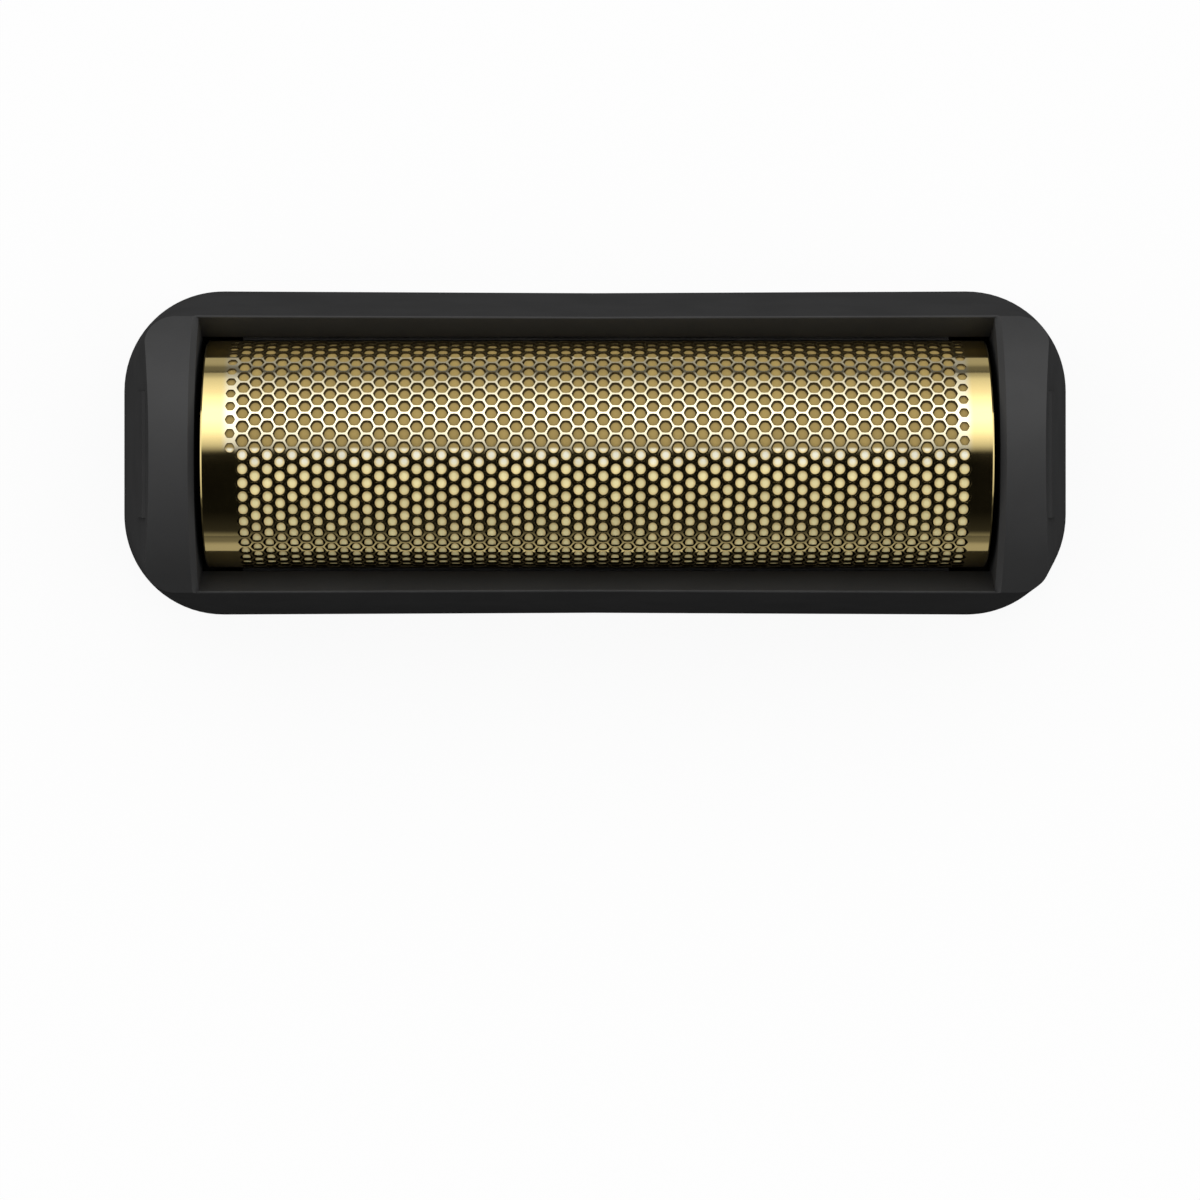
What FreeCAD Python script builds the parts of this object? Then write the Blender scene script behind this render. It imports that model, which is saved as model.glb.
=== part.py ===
"""Foil head of an electric shaver: the cap that lifts off the shaver and carries one arched cutting foil.

A moulded frame holds a cassette from below.  In the cassette two foils, one inside the other, are wrapped
over two arched end cheeks and staked to a carrier with a steel clamp strip along each side.

Sizes are in millimetres.  +X runs along the foil, +Y across it to the rear and +Z out of the foil.
The origin is the middle of the open bottom rim, on which the head stands.
"""

import FreeCAD, Part

import math
import os

Vector = FreeCAD.Vector
Vector2 = FreeCAD.Base.Vector2d

# Outer foil: a thin perforated sheet, arched over the top and flat down both sides
FOIL_RADIUS = 7.05
FOIL_LENGTH = 47.94
FOIL_THICKNESS = 0.12
FOIL_FLANK = 4.55

# Holes of the outer foil, in staggered columns that run over the arch
HOLE_PITCH = 2.6
HOLE_SHARE = 0.735
HOLE_ARC = 79.5
END_BAND = 1.4

# Inner foil: the gold sheet that shows through the holes, with narrow slots behind the webs
LAYER_GAP = 0.03
INNER_THICKNESS = 0.10
SLOT_WIDTH = 0.16
SLOT_EVERY = 4
SLOT_ARC = 62.0
SLOT_ROWS = 4
SLOT_BRIDGE = 1.0

# Stakes of the carrier and the clamp strips that they hold
STAKE_WIDTH = 2.0
STAKE_HEIGHT = 1.0
STAKE_SPACING = 8.0
STAKE_MARGIN = 2.0
HEAD_RIM = 0.4
HEAD_THICKNESS = 0.3
HOLE_CLEARANCE = 0.1
STRIP_HEIGHT = 2.2
STRIP_THICKNESS = 0.35
STRIP_LIFT = 0.3

# Carrier: a flanged ring with two rails, snap fingers and seats for the cheeks
COLLAR_DEPTH = 2.2
FLANGE_THICKNESS = 1.0
FLANGE_CLEARANCE = 0.2
FLANGE_END_CLEARANCE = 1.1
FOOT_GAP = 0.4
RAIL_THICKNESS = 1.1
RAIL_DROP = 0.6
OPENING_CORNER = 0.8

# End cheeks
CHEEK_THICKNESS = 1.4
PEG_WIDTH = 1.0
PEG_LENGTH = 0.8
PEG_SPACING = 9.4

# Snap fingers of the carrier and the windows of the frame that they catch in
FINGER_GAP = 0.33
FINGER_THICKNESS = 0.55
FINGER_WIDTH = 2.2
FINGER_SPACING = 6.0
FINGER_HEIGHT = 3.0
FINGER_CLEARANCE = 0.15
BARB_REACH = 0.6
BARB_BASE = 1.4
BARB_HEIGHT = 1.2
WINDOW_CLEARANCE = 0.2

# Outer frame
WELL_GAP = 0.2
WELL_END_GAP = 0.43
WELL_LIP = 0.7
FUNNEL_ANGLE = 24.1
STRIP_HEADROOM = 1.5
STAKE_CLEARANCE = 0.3
ARCH_RISE = 0.15
FOIL_PROUD = 0.25
SIDE_WALL = 1.07
SIDE_DRAFT = 9.4
END_BLOCK = 2.694
END_DRAFT = 11.0
RIM_WALL = 1.7
FRAME_CORNER = 6.05
RIDGE_CLEARANCE = 0.05
BAY_CORNER = 1.0
RIDGE_RADIUS = 0.08
WELL_CHAMFER = 0.35

# Height above the crown where the frame's tapering corner rounds come to a point
CORNER_APEX = 1.45

# Slope by which each long side of the frame leans inwards, from its ends to its middle
WAIST_SLOPE = 0.0047

# How far the shapes that round the corners are carried on past the rim, as a factor
OVERRUN = 2.0

# Core pockets under the end blocks and thumb pads on the end walls
END_WALL = 1.1
POCKET_WALL = 1.3
POCKET_RIB = 2.4
POCKET_REACH = 5.6
POCKET_HEIGHT = 5.8
PAD_WIDTH = 7.7
PAD_HEIGHT = 4.4
PAD_DROP = 1.9
PAD_RISE = 0.2


def tan(degrees):
    """Tangent of an angle in degrees."""
    return math.tan(math.radians(degrees))


# Heights, from the rim up
LEDGE = COLLAR_DEPTH + FLANGE_THICKNESS
FOIL_FOOT = LEDGE + FOOT_GAP
STRIP_FOOT = FOIL_FOOT + STRIP_LIFT
STAKE_LEVEL = STRIP_FOOT + STRIP_HEIGHT / 2
ARCH_CENTRE = FOIL_FOOT + FOIL_FLANK
BAY_TOP = STRIP_FOOT + STRIP_HEIGHT + STRIP_HEADROOM
WELL_FOOT = BAY_TOP + WELL_LIP
FOIL_CROWN = ARCH_CENTRE + FOIL_RADIUS
CROWN = FOIL_CROWN - FOIL_PROUD
RAIL_TOP = ARCH_CENTRE - RAIL_DROP

# Reaches from the middle, along X and across Y
FOIL_END = FOIL_LENGTH / 2
INNER_RADIUS = FOIL_RADIUS - FOIL_THICKNESS - LAYER_GAP
FORMER_RADIUS = INNER_RADIUS - INNER_THICKNESS - LAYER_GAP
RAIL_INSIDE = FORMER_RADIUS - RAIL_THICKNESS
CHEEK_INSIDE = FOIL_END - CHEEK_THICKNESS
STRIP_OUTSIDE = FOIL_RADIUS + STRIP_THICKNESS
STAKE_OUTSIDE = STRIP_OUTSIDE + HEAD_THICKNESS
BAY_SIDE = STAKE_OUTSIDE + STAKE_CLEARANCE
FINGER_OUTSIDE = FOIL_END + FINGER_GAP + FINGER_THICKNESS
BAY_END = FINGER_OUTSIDE + FINGER_CLEARANCE
WELL_SIDE = FOIL_RADIUS + WELL_GAP
WELL_END = FOIL_END + WELL_END_GAP
FRAME_SIDE = BAY_SIDE + SIDE_WALL + BAY_TOP * tan(SIDE_DRAFT)
FRAME_END = WELL_END + END_BLOCK + CROWN * tan(END_DRAFT)
SOCKET_SIDE = FRAME_SIDE - RIM_WALL
SOCKET_END = FRAME_END - RIM_WALL
SOCKET_CORNER = FRAME_CORNER - RIM_WALL
FLANGE_SIDE = SOCKET_SIDE - FLANGE_CLEARANCE
FLANGE_END = SOCKET_END - FLANGE_END_CLEARANCE

# Ridge along each side of the well, and the arch that passes just over both ridges
RIDGE_HEIGHT = (FRAME_SIDE - WELL_SIDE + WELL_FOOT * tan(FUNNEL_ANGLE)) / (tan(SIDE_DRAFT) + tan(FUNNEL_ANGLE))
RIDGE_SIDE = FRAME_SIDE - RIDGE_HEIGHT * tan(SIDE_DRAFT)
ARCH_DEPTH = CROWN - RIDGE_HEIGHT - RIDGE_CLEARANCE
FRAME_ARCH_RADIUS = (ARCH_DEPTH ** 2 + RIDGE_SIDE ** 2) / (2 * ARCH_DEPTH)

# The lattice of holes in the flat sheet, before it is wrapped over the arch
COLUMN_SPACING = HOLE_PITCH * math.sqrt(3) / 2
HOLE_ACROSS = HOLE_SHARE * HOLE_PITCH
HOLE_HALF_ARC = math.radians(HOLE_ARC) * FOIL_RADIUS
HOLE_COLUMNS = 2 * int((FOIL_END - END_BAND) / COLUMN_SPACING)

# Stakes in a row along each rail, and the strips that reach past the last of them
STAKE_COUNT = 1 + int(2 * (CHEEK_INSIDE - STAKE_MARGIN) / STAKE_SPACING)
STRIP_LENGTH = (STAKE_COUNT - 1) * STAKE_SPACING + 2 * STAKE_MARGIN


def path(points, closed=True):
    """Wire of straight edges through the points."""
    ends = points[1:] + points[:1] if closed else points[1:]
    return Part.Wire([Part.makeLine(a, b) for a, b in zip(points, ends)])


def prism(points, along):
    """Solid swept from a flat closed polygon along a vector."""
    return Part.Face(path(points)).extrude(along)


def outline(half_x, half_y, radius, z, waist=0.0):
    """Edges of a rounded rectangle at height z, anticlockwise.

    With a waist each long side is two straight runs that lean inwards by that slope and meet in the middle.
    """
    corners = ((1, 1, 0), (-1, 1, 90), (-1, -1, 180), (1, -1, 270))
    rounds = []
    for sign_x, sign_y, turn in corners:
        centre = Vector(sign_x * (half_x - radius), sign_y * (half_y - radius), z)
        steps = (0, 45, 90) if radius else (0,)
        angles = [math.radians(turn + step) for step in steps]
        rounds.append([centre + Vector(math.cos(angle), math.sin(angle), 0) * radius for angle in angles])
    edges = []
    for index, points in enumerate(rounds):
        start = points[-1]
        end = rounds[(index + 1) % len(rounds)][0]
        if radius:
            edges.append(Part.Arc(*points).toShape())
        if waist and index % 2 == 0:
            middle = Vector(0, start.y - math.copysign(waist * start.x, start.y), z)
            edges.append(Part.makeLine(start, middle))
            start = middle
        edges.append(Part.makeLine(start, end))
    return edges


def between(low, high):
    """Solid between two outlines with as many edges, flat wherever both edges are straight."""
    faces = [Part.Face(Part.Wire(low)), Part.Face(Part.Wire(high))]
    for below, above in zip(low, high):
        if isinstance(below.Curve, Part.Line):
            ends = [*below.Vertexes, *reversed(above.Vertexes)]
            faces.append(Part.Face(path([vertex.Point for vertex in ends])))
        else:
            faces.append(Part.makeRuledSurface(below, above))
    shell = Part.Shell(faces)
    shell.sewShape()
    solid = Part.Solid(shell)
    return solid if solid.Volume > 0 else solid.reversed()


def block(half_x, half_y, radius, low, high):
    """Upright prism with a rounded rectangle as its plan."""
    plan = Part.Wire(outline(half_x, half_y, radius, low))
    return Part.Face(plan).extrude(Vector(0, 0, high - low))


def wrap(radius, angle, x=0.0):
    """Point on the arch at an angle from its crown, towards +Y."""
    return Vector(x, radius * math.sin(angle), ARCH_CENTRE + radius * math.cos(angle))


def mirror(shape, normal):
    """Copy of a shape on the other side of a middle plane."""
    return shape.mirror(Vector(0, 0, 0), normal)


def stake_places():
    """Places along X of the stakes on one side."""
    return [(index - (STAKE_COUNT - 1) / 2) * STAKE_SPACING for index in range(STAKE_COUNT)]


def arched_sheet(radius, thickness, half_length):
    """Sheet bent over the arch, with flat flanks down to the foil's foot and holes for the stakes."""
    quarter = math.pi / 2
    outer = [wrap(radius, angle, -half_length) for angle in (-quarter, 0, quarter)]
    inner = [wrap(radius - thickness, angle, -half_length) for angle in (-quarter, 0, quarter)]

    def foot(point):
        return Vector(point.x, point.y, FOIL_FOOT)

    edges = [
        Part.Arc(*outer).toShape(),
        *path([outer[2], foot(outer[2]), foot(inner[2]), inner[2]], closed=False).Edges,
        Part.Arc(*inner).toShape(),
        *path([inner[0], foot(inner[0]), foot(outer[0]), outer[0]], closed=False).Edges,
    ]
    sheet = Part.Face(Part.Wire(Part.__sortEdges__(edges))).extrude(Vector(2 * half_length, 0, 0))
    return sheet.cut(stake_holes())


def bar(x, rim, start, end):
    """Upright rectangle round the stake at x, grown by a rim and run across Y from start to end."""
    width = STAKE_WIDTH + 2 * rim
    height = STAKE_HEIGHT + 2 * rim
    return Part.makeBox(width, end - start, height, Vector(x - width / 2, start, STAKE_LEVEL - height / 2))


def stake_holes():
    """Bars across the whole head where the stakes pass through both foils and the strips."""
    return [bar(x, HOLE_CLEARANCE / 2, -FRAME_SIDE, FRAME_SIDE) for x in stake_places()]


def hole_cells():
    """Centre of each hole in the flat sheet, as its place along X and its distance from the crown line."""
    cells = []
    limit = HOLE_HALF_ARC - HOLE_ACROSS / 2
    rows = int(limit / HOLE_PITCH) + 1
    for column in range(HOLE_COLUMNS):
        x = (column - (HOLE_COLUMNS - 1) / 2) * COLUMN_SPACING
        stagger = HOLE_PITCH / 2 * (column % 2)
        for row in range(-rows, rows + 1):
            distance = row * HOLE_PITCH + stagger
            if abs(distance) <= limit:
                cells.append((x, distance))
    return cells


def hexagon(x, distance):
    """Corners of one hole, with two of its sides along X."""
    corner = HOLE_ACROSS / math.sqrt(3)
    corners = []
    for turn in range(6):
        angle = math.radians(60 * turn)
        corners.append((x + corner * math.cos(angle), (distance + corner * math.sin(angle)) / FOIL_RADIUS))
    return corners


def slots(x):
    """Corners of each slot of the inner foil in one row over the arch, with bridges between them."""
    reach = math.radians(SLOT_ARC)
    step = 2 * reach / SLOT_ROWS
    bridge = SLOT_BRIDGE / INNER_RADIUS
    left = x - SLOT_WIDTH / 2
    right = x + SLOT_WIDTH / 2
    row = []
    for index in range(SLOT_ROWS):
        low = index * step - reach + bridge / 2
        high = low + step - bridge
        row.append([(left, low), (right, low), (right, high), (left, high)])
    return row


def laid_on(surface, corners):
    """Closed line on one face of the arch.  Each corner is its place along X and its angle from the crown."""
    start = surface.parameter(wrap(surface.Radius, 0))
    step = surface.parameter(wrap(surface.Radius, 1, 1))
    per_angle = step[0] - start[0]
    per_length = step[1] - start[1]
    points = [Vector2(start[0] + per_angle * angle, start[1] + per_length * x) for x, angle in corners]
    edges = []
    for here, there in zip(points, points[1:] + points[:1]):
        edges.append(Part.Geom2d.Line2dSegment(here, there).toShape(surface))
    return Part.Wire(edges)


def perforated(sheet, openings):
    """The sheet with openings in its arch: both of the arch's faces are pierced, and walls join them."""
    pierced = []
    plain = []
    rims = []
    for face in sheet.Faces:
        if not isinstance(face.Surface, Part.Cylinder):
            plain.append(face)
            continue
        wires = [laid_on(face.Surface, corners) for corners in openings]
        rims.append(wires)
        opened = face.copy()
        opened.cutHoles(wires)
        opened.validate()
        pierced.append(opened)
    walls = []
    for outer, inner in zip(*rims):
        for edge, facing in zip(outer.Edges, inner.Edges):
            walls.append(Part.makeRuledSurface(edge, facing))
    shell = Part.Shell(pierced + plain + walls)
    shell.sewShape()
    return Part.Solid(shell)


def foil():
    """Outer foil, pierced all over its arch but for a plain band at each end."""
    holes = [hexagon(x, distance) for x, distance in hole_cells()]
    return perforated(arched_sheet(FOIL_RADIUS, FOIL_THICKNESS, FOIL_END), holes)


def inner_foil():
    """Inner foil, with slots that run over the arch behind the webs of the outer one."""
    spacing = SLOT_EVERY * COLUMN_SPACING
    reach = int((HOLE_COLUMNS / 2 - 1) / SLOT_EVERY)
    openings = []
    for index in range(-reach, reach + 1):
        openings.extend(slots(index * spacing))
    return perforated(arched_sheet(INNER_RADIUS, INNER_THICKNESS, FOIL_END), openings)


def clamp_strip():
    """Steel strip with a hole at each stake, on the rear flank."""
    corner = Vector(-STRIP_LENGTH / 2, FOIL_RADIUS, STRIP_FOOT)
    flat = Part.makeBox(STRIP_LENGTH, STRIP_THICKNESS, STRIP_HEIGHT, corner)
    return flat.cut(stake_holes())


def stakes():
    """Stakes of the rear rail, each with the head that was melted over the strip."""
    root = FORMER_RADIUS - RAIL_THICKNESS / 2
    shapes = []
    for x in stake_places():
        shapes.append(bar(x, 0, root, STAKE_OUTSIDE))
        shapes.append(bar(x, HEAD_RIM, STRIP_OUTSIDE, STAKE_OUTSIDE))
    return shapes


def rail():
    """Rear rail, which stands on the flange and carries the stakes."""
    length = 2 * CHEEK_INSIDE
    corner = Vector(-CHEEK_INSIDE, RAIL_INSIDE, LEDGE)
    wall = Part.makeBox(length, RAIL_THICKNESS, RAIL_TOP - LEDGE, corner)
    return wall.fuse(stakes())


def finger():
    """Snap finger on the right end of the flange, with a barb that slopes at its top."""
    inside = FINGER_OUTSIDE - FINGER_THICKNESS
    barb = FINGER_OUTSIDE + BARB_REACH
    top = LEDGE + FINGER_HEIGHT
    profile = [
        (inside, LEDGE),
        (FINGER_OUTSIDE, LEDGE),
        (FINGER_OUTSIDE, LEDGE + BARB_BASE),
        (barb, LEDGE + BARB_BASE),
        (FINGER_OUTSIDE, LEDGE + BARB_BASE + BARB_HEIGHT),
        (FINGER_OUTSIDE - FINGER_THICKNESS / 2, top),
        (inside, top),
    ]
    points = [Vector(x, -FINGER_WIDTH / 2, z) for x, z in profile]
    return prism(points, Vector(0, FINGER_WIDTH, 0))


def four_ways(shape):
    """A shape of the right rear quarter, repeated in all four quarters."""
    right = [shape, mirror(shape, Vector(0, 1, 0))]
    return right + [mirror(each, Vector(1, 0, 0)) for each in right]


def carrier():
    """Moulded ring under the foils, with its rails, stakes, fingers and peg holes."""
    corner = SOCKET_CORNER - FLANGE_CLEARANCE
    flange = block(FLANGE_END, FLANGE_SIDE, corner, COLLAR_DEPTH, LEDGE)
    opening = block(CHEEK_INSIDE, RAIL_INSIDE, OPENING_CORNER, 0, CROWN)
    flange = flange.cut(opening)
    hook = finger()
    hook.translate(Vector(0, FINGER_SPACING / 2, 0))
    rear = rail()
    ring = flange.fuse([rear, mirror(rear, Vector(0, 1, 0))] + four_ways(hook))
    return ring.cut(four_ways(peg(HOLE_CLEARANCE))).removeSplitter()


def peg(clearance=0.0):
    """Square peg under the right cheek, or with a clearance the hole that it goes in."""
    width = PEG_WIDTH + clearance
    middle = Vector(FOIL_END - CHEEK_THICKNESS / 2, PEG_SPACING / 2, LEDGE - PEG_LENGTH)
    return Part.makeBox(width, width, PEG_LENGTH, middle - Vector(width / 2, width / 2, 0))


def cheek():
    """Arched former under the right end of the foils, with two pegs."""
    quarter = math.pi / 2
    ends = [wrap(FORMER_RADIUS, angle, CHEEK_INSIDE) for angle in (-quarter, 0, quarter)]
    left = Vector(CHEEK_INSIDE, ends[0].y, LEDGE)
    right = Vector(CHEEK_INSIDE, ends[2].y, LEDGE)
    edges = [Part.Arc(*ends).toShape(), *path([ends[2], right, left, ends[0]], closed=False).Edges]
    plate = Part.Face(Part.Wire(edges)).extrude(Vector(CHEEK_THICKNESS, 0, 0))
    return plate.fuse([peg(), mirror(peg(), Vector(0, 1, 0))])


def corner_round(apex, slope):
    """Rounded right rear corner of the frame, as the cone that touches both walls, and the wedge it fills.

    The cone's tip is on the edge where the walls meet, and its distance from both walls at the rim is the
    corner's radius.
    """
    edge = Vector(-tan(END_DRAFT), -tan(SIDE_DRAFT), 1)
    side = Vector(-1, -slope, 0).cross(edge).normalize()
    end = Vector(0, 1, 0).cross(edge).normalize()
    inset_x = FRAME_CORNER / end.x
    inset_y = (FRAME_CORNER - side.x * inset_x) / side.y
    middle = Vector(FRAME_END - inset_x, FRAME_SIDE - inset_y, 0)
    tip = Vector(FRAME_END, FRAME_SIDE, 0) + edge * apex
    axis = middle - tip
    half_angle = math.asin(FRAME_CORNER / axis.Length)
    length = OVERRUN * axis.Length
    cone = Part.makeCone(0, length * math.tan(half_angle), length, tip, axis)
    on_side = (middle + side * FRAME_CORNER - tip) * OVERRUN
    on_end = (middle + end * FRAME_CORNER - tip) * OVERRUN
    outwards = (side + end).normalize() * OVERRUN * FRAME_CORNER
    wedge = prism([tip, tip + on_side, tip + on_end], outwards)
    return wedge, cone.common(wedge)


def frame_form():
    """Outer form of the frame: drafted walls with tapering round corners, under an arched top."""
    apex = CROWN + CORNER_APEX
    base = outline(FRAME_END, FRAME_SIDE, 0, 0, WAIST_SLOPE)
    top_end = FRAME_END - apex * tan(END_DRAFT)
    top_side = FRAME_SIDE - apex * tan(SIDE_DRAFT)
    top = outline(top_end, top_side, 0, apex, WAIST_SLOPE)
    wedge, rounded = corner_round(apex, WAIST_SLOPE)
    form = between(base, top).cut(four_ways(wedge)).fuse(four_ways(rounded))
    return form.common(under_arch(FRAME_ARCH_RADIUS, CROWN)).removeSplitter()


def under_arch(radius, crown):
    """Solid from the rim up to an arch that runs past both ends of the head."""
    start = -FRAME_END - radius
    centre = crown - radius
    shoulders = [Vector(start, -radius, centre), Vector(start, radius, centre)]
    feet = [Vector(start, radius, 0), Vector(start, -radius, 0)]
    arch = Part.Arc(shoulders[0], Vector(start, 0, crown), shoulders[1]).toShape()
    below = path([shoulders[1], *feet, shoulders[0]], closed=False)
    return Part.Face(Part.Wire([arch, *below.Edges])).extrude(Vector(-2 * start, 0, 0))


def well():
    """Opening over the foil: a funnel with upright ends, and a straight lip at its foot."""
    rise = CROWN + ARCH_RISE - WELL_FOOT
    foot = outline(WELL_END, WELL_SIDE, 0, WELL_FOOT)
    top = outline(WELL_END, WELL_SIDE + rise * tan(FUNNEL_ANGLE), 0, WELL_FOOT + rise)
    return between(foot, top).fuse(block(WELL_END, WELL_SIDE, 0, LEDGE, WELL_FOOT))


def well_edges(form, ends):
    """Upper edges of the well: those of the end blocks, or else the ridges along its sides."""
    edges = []
    for edge in form.Edges:
        box = edge.BoundBox
        across = box.XLength < box.YLength
        long = max(box.XLength, box.YLength) > WELL_SIDE
        near = max(abs(box.XMin), abs(box.XMax)) < WELL_END + END_BLOCK / 2
        if long and near and box.ZMin > WELL_FOOT and across == ends:
            edges.append(edge)
    return edges


def pocket():
    """Tapered core pocket under the right end block, behind its middle rib."""
    inside = BAY_END + END_WALL
    start = POCKET_RIB / 2
    middle = (start + POCKET_REACH) / 2
    plans = []
    for z in (LEDGE, LEDGE + POCKET_HEIGHT):
        outside = FRAME_END - z * tan(END_DRAFT) - POCKET_WALL
        plan = outline((outside - inside) / 2, (POCKET_REACH - start) / 2, 0, z)
        for edge in plan:
            edge.translate(Vector((outside + inside) / 2, middle, 0))
        plans.append(plan)
    return between(*plans)


def window():
    """Window between the bay and the right rear pocket, for the barb of a finger."""
    width = FINGER_WIDTH + 2 * WINDOW_CLEARANCE
    height = BARB_HEIGHT + 2 * WINDOW_CLEARANCE
    corner = Vector(WELL_END, (FINGER_SPACING - width) / 2, LEDGE + BARB_BASE - WINDOW_CLEARANCE)
    return Part.makeBox(BAY_END + END_WALL - WELL_END, width, height, corner)


def pad():
    """Raised thumb pad on the right end wall."""
    high = CROWN - PAD_DROP
    low = high - PAD_HEIGHT
    profile = []
    for depth, z in ((-PAD_RISE, low), (PAD_RISE, low), (PAD_RISE, high), (-PAD_RISE, high)):
        profile.append(Vector(FRAME_END - z * tan(END_DRAFT) + depth, -PAD_WIDTH / 2, z))
    return prism(profile, Vector(0, PAD_WIDTH, 0))


def frame():
    """Moulded outer frame: the form less the well, the cassette's bay and the socket for the collar."""
    form = frame_form().cut(well())
    form = form.makeChamfer(WELL_CHAMFER, well_edges(form, ends=True))
    form = form.makeFillet(RIDGE_RADIUS, well_edges(form, ends=False))
    hollows = [
        block(BAY_END, BAY_SIDE, BAY_CORNER, 0, BAY_TOP),
        block(SOCKET_END, SOCKET_SIDE, SOCKET_CORNER, 0, LEDGE),
        *four_ways(pocket()),
        *four_ways(window()),
    ]
    form = form.cut(hollows)
    return form.fuse([pad(), mirror(pad(), Vector(1, 0, 0))]).removeSplitter()


def save(name, shape):
    """Write one piece to its own file."""
    shape.exportStep(f"parts/{name}.step")


def main():
    """Build each piece in its place and save it."""
    os.makedirs("parts", exist_ok=True)
    right_cheek = cheek()
    rear_strip = clamp_strip()
    save("outer_frame", frame())
    save("foil", foil())
    save("inner_foil", inner_foil())
    save("foil_carrier", carrier())
    save("right_end_cheek", right_cheek)
    save("left_end_cheek", mirror(right_cheek, Vector(1, 0, 0)))
    save("rear_clamp_strip", rear_strip)
    save("front_clamp_strip", mirror(rear_strip, Vector(0, 1, 0)))


main()
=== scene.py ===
"""Looks of the shaver foil head: the finely perforated foils, the finishes of all its pieces, and a soft studio.

Lengths in this file are in metres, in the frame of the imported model.  The head stands on its rim at height zero,
+X runs along the foil, +Y to the rear and +Z up out of the foil.
"""

import math

import bpy
import numpy as np
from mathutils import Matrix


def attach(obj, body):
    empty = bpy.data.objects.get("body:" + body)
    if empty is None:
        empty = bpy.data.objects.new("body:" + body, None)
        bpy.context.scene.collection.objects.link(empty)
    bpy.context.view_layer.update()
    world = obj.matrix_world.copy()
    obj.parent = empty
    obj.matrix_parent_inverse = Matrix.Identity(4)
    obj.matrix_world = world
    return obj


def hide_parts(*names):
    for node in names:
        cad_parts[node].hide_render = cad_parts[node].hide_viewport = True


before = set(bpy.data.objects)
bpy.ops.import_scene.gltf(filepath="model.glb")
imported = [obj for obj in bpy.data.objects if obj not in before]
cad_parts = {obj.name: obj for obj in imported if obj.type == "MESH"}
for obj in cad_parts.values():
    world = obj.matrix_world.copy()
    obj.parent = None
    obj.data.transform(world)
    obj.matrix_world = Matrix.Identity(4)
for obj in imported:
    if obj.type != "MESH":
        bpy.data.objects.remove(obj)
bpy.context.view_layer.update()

bl_info = {
    "name": "Shaver foil head",
    "version": (1, 0, 0),
    "blender": (4, 5, 0),
    "location": "3D View > Sidebar > Foil head",
    "description": "Builds the fine foils of a shaver head, its finishes and the studio round it",
    "category": "Object",
}

MM = 0.001
BODY = "root"

# The lattice of holes.  The draw varies their widths, and a block's ring is given in grid lines from its middle
COLUMNS = 60
RIM_POINTS = 12
CIRCLE_SHARE = 1.03
DRAW_SEED = 7
WIDTH_SPREAD = 0.012
SMALL_HOLE = 0.75
RING_RIGHT = ((1, 0), (1, 1), (1, 2), (0, 2))
RING_LEFT = ((-1, 2), (-1, 1), (-1, 0), (-1, -1), (-1, -2))
RING_STEPS = (*RING_RIGHT, *RING_LEFT, (0, -2), (1, -2), (1, -1))

# The rest of the sheets' grid, and the openings for stakes and slots
BAND_POINTS = 5
FLANK_POINTS = 5
STAKES = 6
SLOT_ROWS = 5
SLOT_STEP = 24
SLOTS_IN_ROW = 4
SLOT_ARC = math.radians(62.0)
SLOT_HALF_SHARE = 0.36
SHARP_ANGLE = math.radians(32.0)

# Where the outer foil's gold changes: at the plain end bands, at the crown and towards the rear flank
# Rear of the crown the webs get a painted sheen and the hole walls a lighter painted shade, both fading at the flank.
END_BAND = (22.2 * MM, 22.8 * MM)
WEB_SEAM = (0.0, 0.4 * MM)
REAR_FLANK = (5.4 * MM, 6.8 * MM)

# Where the inner foil's gold changes: from the front half to the rear one, beside the crown, and under each hole
# Painted: the rear half's dullness as shade, the paler crown as a highlight, the dark disc edges as shadow.
SEAM = (0.30 * MM, 0.50 * MM)
CROWN_HIGHLIGHT = (0.25 * MM, 0.95 * MM)
DISC_MIDDLE = (0.12 * MM, 0.31 * MM)
DISC_EDGE = (0.295 * MM, 0.335 * MM)
DISC_RADIUS = 0.35 * MM

# Slopes between which the sheet gets steep, as distance to the side over height, and held at the second
STEEP = (0.9, 1.25)

# How the discs under the holes shift, shorten, widen and tilt where the sheet falls away from the camera
LEAST_RISE = 0.5 * MM
# In the rear half these move each disc to the front, so that its painted shadow is wider on the rear side.
REAR_LEAN = 0.12 * MM
REAR_SHIFT = 0.04 * MM
FRONT_LEAN = 0.175 * MM
LEAST_LEVEL = 0.55
LEVEL_SHARE = 0.94
FRONT_WIDENING = 0.5
FRONT_TILT = 2.0
FRONT_TILT_BY_SLOPE = 3.5

# The floor: how deep it lies, where it dims with distance, the painted shadow under the head, and its paint
FLOOR_DEPTH = 0.02 * MM
FLOOR_FADE = (0.08, 0.40)
MIRROR_NEAR = (0.015, 0.042)
MIRROR_FAR = (0.055, 0.10)
MIRROR_NEAR_SHARE = 0.75
SHADOW_PATCH_ALONG = (23.0 * MM, 27.0 * MM)
SHADOW_PATCH_ACROSS = (5.0 * MM, 8.0 * MM)
FLOOR_PAINT = (0.35, 0.35, 0.35)
FLOOR_PAINT_SEEN = (0.9, 0.9, 0.9)
WHITE = (1.0, 1.0, 1.0)

# The strip of light: its edges sideways, and its level at each angle in degrees from straight up to the rear
STRIP_EDGES = (0.16, 0.30)
STRIP_BRIGHTEST = 2.2
STRIP_FRONT = ((-180, 0.30), (-101, 0.32), (-92, 0.30), (-84, 0.03), (-60, 0.006), (-10, 0.004))
STRIP_CROWN = ((1, 0.015), (2.5, 0.08), (5, 0.34), (9, 0.72), (13, 0.97), (17, 1.2), (23, 1.6))
STRIP_REAR = ((35, 2.2), (46, 2.2), (66, 1.26), (82, 0.87), (86, 0.55), (94, 0.30), (180, 0.30))
STRIP_LEVELS = (*STRIP_FRONT, *STRIP_CROWN, *STRIP_REAR)

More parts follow.
